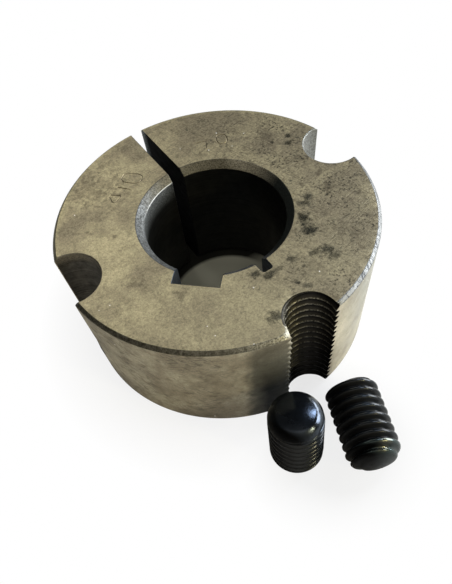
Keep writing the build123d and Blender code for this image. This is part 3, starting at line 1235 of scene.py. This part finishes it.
def threadMaterial():
    # the tapped hole: crests made light as a painted highlight, partly wear; roots made dark and the lower
    # end darker as painted shade, partly oil
    look = threadLook
    material, tree, shader, where = newMaterial("iron thread")
    cloud = mottle(tree, where, 3.0, 0.8, 0.24)
    parts = axes(tree, where)
    flat = flattened(tree, parts)
    axis = polar(bush["holeCircle"], bush["threadAngle"])
    away = measure(tree, "DISTANCE", flat, (axis.x, axis.y, 0))
    depth = minus(tree, away, bush["tapRadius"])
    # painted shade, partly oil: darker the deeper into the groove
    colour = blend(tree, remap(tree, depth, 0.2, bush["threadDepth"] * 0.8), look["flank"], look["root"])
    speckled = remap(tree, cloud["Grain"], 0.42, 0.6, 0.1, 1.0)
    # painted highlight, partly wear: the crests are made light
    crest = times(tree, remap(tree, depth, *look["crestDepth"], 1.0, 0.0), speckled)
    colour = blend(tree, crest, colour, look["crest"])
    # painted shade: darker towards the lower end of the hole
    low = remap(tree, parts[2], *look["lowRise"], 0.99, 0.2)
    colour = blend(tree, low, colour, look["root"])
    tree.links.new(colour, shader.inputs["Base Color"])
    shader.inputs["Metallic"].default_value = look["metallic"]
    shader.inputs["Specular IOR Level"].default_value = 0.2
    tree.links.new(remap(tree, cloud["Blotches"], 0.35, 0.65, 0.32, 0.5), shader.inputs["Roughness"])
    surfaceBump(tree, shader, plus(tree, cloud["Grain"], cloud["Blotches"]), 0.03)
    return material


screwLook = {
    "black": (0.003, 0.004, 0.005, 1), "sheen": (0.010, 0.014, 0.018, 1), "worn": (0.2, 0.185, 0.14, 1),
    "shadow": (0.002, 0.002, 0.002, 1), "point": (0.042, 0.05, 0.062, 1),
    "lyingPoint": (0.055, 0.072, 0.07, 1), "metallic": 0.35, "gloss": 0.3,
    "sootySide": (-0.93, -0.3, 0.1), "rubbedCentre": (0.9, -44.4, 8.5), "rubbedSize": (2.2, 1.3, 1.6),
    # each pair below: where a mask starts and where it is full, in millimetres
    "lyingFrom": (-40.0, -42.0),
}


def screwMaterial():
    look = screwLook
    material, tree, shader, where = newMaterial("black oxide")
    cloud = mottle(tree, where, 4.0, 1.0, 0.22)
    colour = blend(tree, remap(tree, cloud["Clouds"], 0.35, 0.65), look["black"], look["sheen"])
    specks = speckMask(tree, where, 1.4, 0.09, 0.15)
    colour = blend(tree, times(tree, specks, 0.7), colour, look["worn"])
    # the point is a little greyer, and the lying screw's point lighter still as painted light; its first
    # ring has been rubbed bare on top
    fromTip = addNode(tree, "ShaderNodeAttribute", attribute_name="fromTip").outputs["Fac"]
    parts = axes(tree, where)
    # painted light: the lying screw's point gets a lighter colour than the standing one's
    pointColour = blend(tree, remap(tree, parts[1], *look["lyingFrom"]), look["point"], look["lyingPoint"])
    atPoint = remap(tree, fromTip, screws["pointRound"] - 0.4, screws["pointRound"] - 0.1, 1.0, 0.0)
    colour = blend(tree, atPoint, colour, pointColour)
    rubbed = useEffect(tree, "stain", {"Vector": where, "Centre": look["rubbedCentre"],
                                       "Size": look["rubbedSize"], "Edge Noise": cloud["Blotches"],
                                       "Softness": 0.9, "Raggedness": 0.3})["Mask"]
    rubbed = times(tree, rubbed, remap(tree, cloud["Grain"], 0.35, 0.6, 0.3, 1.0))
    colour = blend(tree, rubbed, colour, look["worn"])
    # painted shade: the side turned to the left is darkened by which way it faces
    facing = addNode(tree, "ShaderNodeNewGeometry").outputs["Normal"]
    paintedLeftShade = remap(tree, measure(tree, "DOT_PRODUCT", facing, look["sootySide"]), 0.1, 0.7)
    colour = blend(tree, paintedLeftShade, colour, look["shadow"])
    tree.links.new(colour, shader.inputs["Base Color"])
    # the point is polished, so it only shows what it mirrors
    tree.links.new(remap(tree, atPoint, 0.0, 1.0, look["metallic"], 0.95), shader.inputs["Metallic"])
    shader.inputs["Specular IOR Level"].default_value = look["gloss"]
    rough = remap(tree, cloud["Blotches"], 0.35, 0.7, 0.14, 0.23)
    tree.links.new(plus(tree, rough, times(tree, paintedLeftShade, 0.4)), shader.inputs["Roughness"])
    surfaceBump(tree, shader, plus(tree, cloud["Grain"], cloud["Blotches"]), 0.012)
    return material


# what differs between the walls; a patch of painted light starts and is full at these places, in
# millimetres
wallLook = {
    "bore": {
        # near black: painted shade deep in the bore; its patch is a painted lit band along the top of the
        # left wall
        "light": (0.014, 0.014, 0.013, 1), "dark": (0.005, 0.005, 0.005, 1),
        "metallic": 0.6, "feedStep": 0.3, "bumpDepth": 0.012, "gloss": 0.2,
        "cleaned": [{"height": (20.0, 24.2), "side": (0.5, -3.5), "colour": (0.25, 0.265, 0.265, 1)}],
    },
    "slot": {
        "light": (0.05, 0.06, 0.07, 1), "dark": (0.02, 0.024, 0.03, 1),
        "metallic": 0.7, "feedStep": 0.5, "bumpDepth": 0.01,
    },
    "sawn": {
        # near black: painted shade in the narrow saw cut; its patch is a painted lit streak at the outer
        # end of the right wall
        "light": (0.01, 0.011, 0.012, 1), "dark": (0.004, 0.004, 0.004, 1),
        "metallic": 0.3, "feedStep": 0.35, "bumpDepth": 0.02, "gloss": 0.05, "rough": 0.8,
        "cleaned": [{"height": (2.0, 6.0), "side": (0.5, 1.0), "along": (25.9, 27.6),
                     "colour": (0.36, 0.39, 0.39, 1)}],
    },
    "plainHole": {
        "light": (0.085, 0.078, 0.065, 1), "dark": (0.028, 0.025, 0.02, 1),
        "metallic": 0.75, "feedStep": 0.28, "bumpDepth": 0.015, "gloss": 0.4, "rough": 0.42,
        # the first patch is painted light over the whole right hole, the second a painted lit band along
        # the top of the left hole
        "cleaned": [
            {"height": (-2.0, -1.0), "side": (10.0, 20.0), "colour": (0.19, 0.195, 0.18, 1)},
            {"height": (23.4, 24.4), "side": (-10.0, -20.0), "colour": (0.15, 0.13, 0.095, 1)},
        ],
    },
}
bushMaterials = {
    "face": faceMaterial(),
    "taper": taperMaterial(),
    "rim": rimMaterial(),
    "boreRim": boreRimMaterial(),
    "bore": wallMaterial("iron bore", **wallLook["bore"]),
    "slot": wallMaterial("iron slots", **wallLook["slot"]),
    "sawn": wallMaterial("iron saw cut", **wallLook["sawn"]),
    "plainHole": wallMaterial("iron drilled", **wallLook["plainHole"]),
    "thread": threadMaterial(),
}
print("materials ready")

iron = makeBush(bushMaterials)
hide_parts("tapered_bush")
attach(iron, "root")
print("bush ready", len(iron.data.polygons))

blackOxide = screwMaterial()
# how far behind the tip each screw's thread starts, and where round the screw it starts, in turns
screwThreads = {
    "standing": (2.0, 0.0),
    "lying": (0.2, 0.75),
}
for name, (start, phase) in screwThreads.items():
    screw = makeScrew("screw_" + name, "set_screw_" + name, [blackOxide, blackOxide], start, phase)
    print(name, "screw ready", len(screw.data.polygons))

floorLook = {
    "radius": 0.9, "gap": 0.00005, "bounce": 0.8, "hidden": (0.5, 0.95), "byScrews": 0.4, "shade": 0.17,
    "inner": 20.0, "outer": 23.0, "screws": (-2.0, -37.0, 0.0), "toKeyway": (-0.7, -0.71, 0),
    "wallBand": (11.0, 11.9), "wallSide": (2.5, 7.0),
    "bushShade": (28.0, 39.0), "screwShade": (9.0, 18.0), "holeShade": (2.0, 8.0),
}


def makeFloor():
    look = floorLook
    size = look["radius"]
    mesh = bpy.data.meshes.new("floor")
    corners = [(-size, -size, 0), (size, -size, 0), (size, size, 0), (-size, size, 0)]
    mesh.from_pydata(corners, [], [(0, 1, 2, 3)])
    floor = bpy.data.objects.new("floor", mesh)
    bpy.context.scene.collection.objects.link(floor)
    floor.location.z = cadBox[0][2] - look["gap"]
    material = bpy.data.materials.new("white floor")
    material.use_nodes = True
    tree = material.node_tree
    tree.nodes.clear()
    where = addNode(tree, "ShaderNodeTexCoord").outputs["Object"]
    inMm = addNode(tree, "ShaderNodeVectorMath", {0: where, "Scale": 1 / mm}, operation="SCALE").outputs[0]
    parts = axes(tree, inMm)
    flat = flattened(tree, parts)
    away = measure(tree, "LENGTH", flat)
    outside = remap(tree, away, look["inner"], look["outer"])
    byScrews = remap(tree, measure(tree, "DISTANCE", flat, look["screws"]), *look["screwShade"], 1.0, 0.0)
    # painted shade: the lit floor is made darker round the screws
    bounce = remap(tree, byScrews, 0.0, 1.0, look["bounce"], look["byScrews"])
    # under the bore it is grey card; it is made lighter towards the keyway as painted light, and dark
    # against the far wall as a painted contact shadow
    toKeyway = measure(tree, "DOT_PRODUCT", flat, look["toKeyway"])
    under = remap(tree, toKeyway, -9.0, 2.0, *look["hidden"])
    wallShade = times(tree, remap(tree, away, *look["wallBand"]), remap(tree, parts[1], *look["wallSide"]))
    under = times(tree, under, remap(tree, wallShade, 0.0, 1.0, 1.0, 0.04))
    grey = plus(tree, times(tree, minus(tree, bounce, under), outside), under)
    warm = times(tree, grey, remap(tree, outside, 0.0, 1.0, 0.82, 1.0))
    colour = addNode(tree, "ShaderNodeCombineColor", {0: grey, 1: grey, 2: warm}).outputs[0]
    lit = addNode(tree, "ShaderNodeBsdfDiffuse", {"Color": colour})
    glow = addNode(tree, "ShaderNodeEmission", {"Color": (1, 1, 1, 1), "Strength": 1.0})
    seen = addNode(tree, "ShaderNodeLightPath").outputs["Is Camera Ray"]
    # near the object a share of the lit floor shows, so its shadow stays
    byBush = remap(tree, away, *look["bushShade"], 1.0, 0.0)
    hole = polar(bush["holeCircle"], bush["threadAngle"])
    fromHole = measure(tree, "DISTANCE", flat, (hole.x, hole.y, 0))
    byHole = remap(tree, fromHole, *look["holeShade"], 0.6, 0.0)
    near = plus(tree, larger(tree, byBush, byScrews), byHole)
    shown = minus(tree, 1.0, times(tree, near, look["shade"]))
    share = times(tree, times(tree, seen, outside), shown)
    mixed = addNode(tree, "ShaderNodeMixShader", {0: share, 1: lit.outputs[0], 2: glow.outputs[0]})
    addNode(tree, "ShaderNodeOutputMaterial", {"Surface": mixed.outputs[0]})
    mesh.materials.append(material)
    return floor


makeFloor()

lightAim = Vector((0, -0.005, 0.012))
# bearing and height in degrees, distance, size, power and colour of each lamp
lights = {
    "right window": (-27.0, 15.0, 0.45, (0.20, 0.20), 2.15, (0.96, 1.0, 1.06)),
    "far window": (3.0, 15.0, 0.45, (0.20, 0.20), 2.0, (0.98, 1.0, 1.02)),
    "near lamp": (-125.0, 50.0, 0.50, (0.45, 0.40), 0.97, (1.0, 0.96, 0.88)),
    "back wall": (93.0, 45.0, 0.45, (0.20, 0.20), 0.36, (1.0, 0.97, 0.9)),
    "high window": (-1.0, 49.0, 0.45, (0.06, 0.14), 0.52, (0.8, 0.93, 1.15)),
    "desk lamp": (-68.0, 23.0, 0.475, (0.06, 0.06), 0.95, (1.0, 0.9, 0.55)),
}


def makeLights():
    for name, (bearing, height, distance, size, power, colour) in lights.items():
        data = bpy.data.lights.new(name, "AREA")
        data.shape = "RECTANGLE"
        data.size, data.size_y = size
        data.energy = power
        data.color = colour
        lamp = bpy.data.objects.new(name, data)
        flat = polar(math.cos(math.radians(height)), bearing)
        away = Vector((flat.x, flat.y, math.sin(math.radians(height))))
        lamp.location = lightAim + away * distance
        lamp.rotation_euler = away.to_track_quat("Z", "Y").to_euler()
        bpy.context.scene.collection.objects.link(lamp)
    world = bpy.data.worlds.new("room")
    bpy.context.scene.world = world
    world.use_nodes = True
    # a dim room that looks white when seen directly
    tree = world.node_tree
    tree.nodes.clear()
    dim = addNode(tree, "ShaderNodeBackground", {"Color": (0.95, 0.97, 1.0, 1), "Strength": 0.02})
    white = addNode(tree, "ShaderNodeBackground", {"Color": (1, 1, 1, 1), "Strength": 1.0})
    seen = addNode(tree, "ShaderNodeLightPath").outputs["Is Camera Ray"]
    mixed = addNode(tree, "ShaderNodeMixShader", {0: seen, 1: dim.outputs[0], 2: white.outputs[0]})
    addNode(tree, "ShaderNodeOutputWorld", {"Surface": mixed.outputs[0]})


makeLights()

cameraLook = {
    "place": (-0.03579, -0.07087, 0.10752), "forward": (0.271, 0.5386, -0.7978),
    "roll": -9.11, "lens": 40.26,
}


def makeCamera():
    forward = Vector(cameraLook["forward"]).normalized()
    level = forward.cross(Vector((0, 0, 1))).normalized()
    upright = level.cross(forward)
    roll = math.radians(cameraLook["roll"])
    across = level * math.cos(roll) + upright * math.sin(roll)
    up = upright * math.cos(roll) - level * math.sin(roll)
    turned = Matrix((across, up, -forward)).transposed().to_4x4()
    data = bpy.data.cameras.new("camera")
    data.lens = cameraLook["lens"]
    data.sensor_width = 36
    data.clip_start = 0.01
    data.clip_end = 20
    camera = bpy.data.objects.new("camera", data)
    camera.matrix_world = Matrix.Translation(cameraLook["place"]) @ turned
    bpy.context.scene.collection.objects.link(camera)
    bpy.context.scene.camera = camera


makeCamera()
bpy.context.scene.view_settings.view_transform = "Standard"

bpy.context.view_layer.update()
